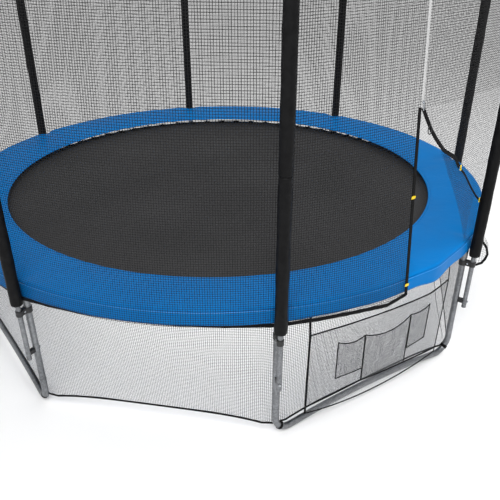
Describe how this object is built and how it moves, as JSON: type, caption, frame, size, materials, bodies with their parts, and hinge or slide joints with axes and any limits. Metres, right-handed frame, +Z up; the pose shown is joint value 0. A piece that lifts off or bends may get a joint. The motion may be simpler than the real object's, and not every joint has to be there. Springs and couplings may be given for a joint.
{
  "type": "backyard trampoline",
  "caption": "Round spring trampoline on U-shaped legs with foam-sleeved poles, a zipped safety net and a cloth skirt with a pocket panel.",
  "frame": {"origin": "on the ground under the middle of the mat", "axes": "+Z up along the enclosure poles, -Y through the middle of the doorway"},
  "size_m": [3.6892, 3.6952, 2.629],
  "materials": {
    "galvanised_tube": "galvanised steel tube",
    "pole_foam": "closed-cell foam sleeve in black vinyl",
    "black_plastic": "moulded black plastic",
    "zinc_fastener": "zinc-plated steel",
    "blue_vinyl": "PVC-coated blue pad cover",
    "mat_weave": "woven black polypropylene",
    "black_net": "knotless black polyethylene net",
    "black_webbing": "black webbing and hem tape",
    "zip_tape": "light zip tape with moulded teeth",
    "yellow_plastic": "yellow moulded buckle",
    "grey_net": "fine light grey mesh",
    "grey_cloth": "dark grey woven cloth"
  },
  "bodies": {
    "frame": {"top_rail_1": "galvanised_tube", "top_rail_2": "galvanised_tube", "top_rail_3": "galvanised_tube", "top_rail_4": "galvanised_tube", "top_rail_5": "galvanised_tube", "top_rail_6": "galvanised_tube", "top_rail_7": "galvanised_tube", "top_rail_8": "galvanised_tube", "leg_base_1": "galvanised_tube", "leg_base_2": "galvanised_tube", "leg_base_3": "galvanised_tube", "leg_base_4": "galvanised_tube", "leg_upright_1": "galvanised_tube", "leg_upright_2": "galvanised_tube", "leg_upright_3": "galvanised_tube", "leg_upright_4": "galvanised_tube", "leg_upright_5": "galvanised_tube", "leg_upright_6": "galvanised_tube", "leg_upright_7": "galvanised_tube", "leg_upright_8": "galvanised_tube", "pole_1": "galvanised_tube", "pole_2": "galvanised_tube", "pole_3": "galvanised_tube", "pole_4": "galvanised_tube", "pole_5": "galvanised_tube", "pole_6": "galvanised_tube", "pole_7": "galvanised_tube", "pole_8": "galvanised_tube", "pole_foam_1": "pole_foam", "pole_foam_2": "pole_foam", "pole_foam_3": "pole_foam", "pole_foam_4": "pole_foam", "pole_foam_5": "pole_foam", "pole_foam_6": "pole_foam", "pole_foam_7": "pole_foam", "pole_foam_8": "pole_foam", "pole_clamps": "black_plastic", "pole_spacers": "black_plastic", "pole_caps": "black_plastic", "pole_bolts": "zinc_fastener", "spring_pad": "blue_vinyl", "pad_skirt": "blue_vinyl", "enclosure_net": "black_net", "door_head": "black_net", "door_flap_left": "black_net", "door_flap_right": "black_net", "net_hem": "black_webbing", "net_top_band": "black_webbing", "door_binding": "black_webbing", "corner_straps": "black_webbing", "zip_track": "zip_tape", "strap_buckles": "yellow_plastic", "buckle_catches": "yellow_plastic", "lower_net": "grey_net", "pocket_panel": "grey_cloth", "pockets": "grey_cloth"},
    "mat": {"mat": "mat_weave", "v_rings": "zinc_fastener", "springs": "zinc_fastener"},
    "zip_slider": {"zip_slider": "zinc_fastener"}
  },
  "joints": [
    {"name": "mat_bounce", "type": "slide", "parent": "frame", "child": "mat", "axis": [0, 0, 1], "range_m": [-0.4, 0], "stiffness_N_per_m": 4500, "springref_m": 0.02, "deforming": ["springs"]},
    {"name": "zip_slide", "type": "slide", "parent": "frame", "child": "zip_slider", "axis": [-0.0013, 0.0829, 0.9966], "range_m": [0, 0.7]}
  ]
}
